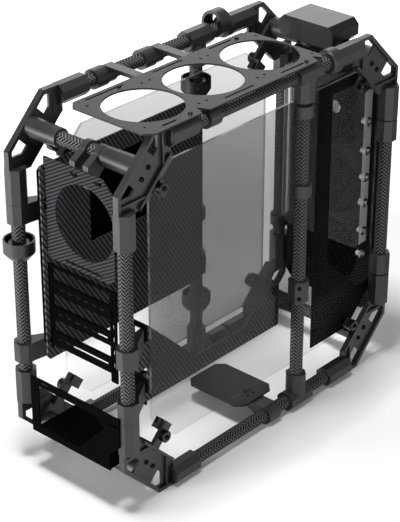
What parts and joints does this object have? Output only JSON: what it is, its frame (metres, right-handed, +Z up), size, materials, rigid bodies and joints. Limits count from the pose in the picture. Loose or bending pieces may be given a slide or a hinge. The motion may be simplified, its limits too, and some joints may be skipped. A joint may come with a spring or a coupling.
{
  "type": "open air test bench",
  "caption": "Open computer test bench frame of carbon fibre tubes and moulded corner brackets, with fan plates, a board tray, expansion and power supply frames and side panes.",
  "frame": {"origin": "middle of the footprint on the floor, under the frame", "axes": "+X from the rear, where the power supply and the slots are, to the front; +Y across the bench to the far side, where the board tray is; +Z up"},
  "size_m": [0.6117, 0.2484, 0.5838],
  "materials": {
    "moulded_plastic": "fine moulded satin, near black",
    "carbon_tube": "carbon fibre weave under a thin clear coat",
    "carbon_plate": "twill carbon fibre sheet, satin clear coat",
    "black_metal": "black powder coat on sheet metal",
    "smoked_glass": "clear smoked tint, polished",
    "clear_plate": "clear polished",
    "black_fastener": "black anodised"
  },
  "bodies": {
    "root": {"arm_clamps_far_rear": "moulded_plastic", "arm_clamps_near_rear": "moulded_plastic", "box_saddles": "moulded_plastic", "control_box": "moulded_plastic", "corner_bracket_far_front_bottom": "moulded_plastic", "corner_bracket_far_front_top": "moulded_plastic", "corner_bracket_far_rear_bottom": "moulded_plastic", "corner_bracket_far_rear_top": "moulded_plastic", "corner_bracket_near_front_bottom": "moulded_plastic", "corner_bracket_near_front_top": "moulded_plastic", "corner_bracket_near_rear_bottom": "moulded_plastic", "corner_bracket_near_rear_top": "moulded_plastic", "cross_tube_front_bottom": "carbon_tube", "cross_tube_front_top": "carbon_tube", "cross_tube_rear_bottom": "carbon_tube", "cross_tube_rear_top": "carbon_tube", "cup_rings": "moulded_plastic", "distribution_plate": "clear_plate", "distribution_spacers": "black_fastener", "expansion_slot_frame": "black_metal", "fan_plate_clamps": "moulded_plastic", "fan_plate_top": "carbon_plate", "front_cover_sheet": "black_metal", "front_fan_plate": "carbon_plate", "front_side_panel": "carbon_plate", "glass_pane_far": "smoked_glass", "glass_pane_near": "smoked_glass", "holder_knobs": "black_fastener", "hook_ring": "moulded_plastic", "lower_side_panel": "carbon_plate", "motherboard_tray": "carbon_plate", "pane_holders_far": "moulded_plastic", "pane_holders_near": "moulded_plastic", "plain_collars": "moulded_plastic", "psu_frame": "black_metal", "pump_plate": "carbon_plate", "pump_plate_bracket": "moulded_plastic", "rear_fan_plate": "carbon_plate", "rear_plate_hangers": "moulded_plastic", "side_panel_gussets": "black_metal", "slot_covers": "black_metal", "tee_far_bottom": "moulded_plastic", "tee_far_top": "moulded_plastic", "tee_near_bottom": "moulded_plastic", "tee_near_top": "moulded_plastic", "tray_cover": "black_metal", "tray_spacers": "black_fastener", "tube_blocks": "moulded_plastic", "tube_far_bottom": "carbon_tube", "tube_far_front": "carbon_tube", "tube_far_middle": "carbon_tube", "tube_far_rear": "carbon_tube", "tube_far_top": "carbon_tube", "tube_near_bottom": "carbon_tube", "tube_near_front": "carbon_tube", "tube_near_middle": "carbon_tube", "tube_near_rear": "carbon_tube", "tube_near_top": "carbon_tube"}
  },
  "joints": []
}
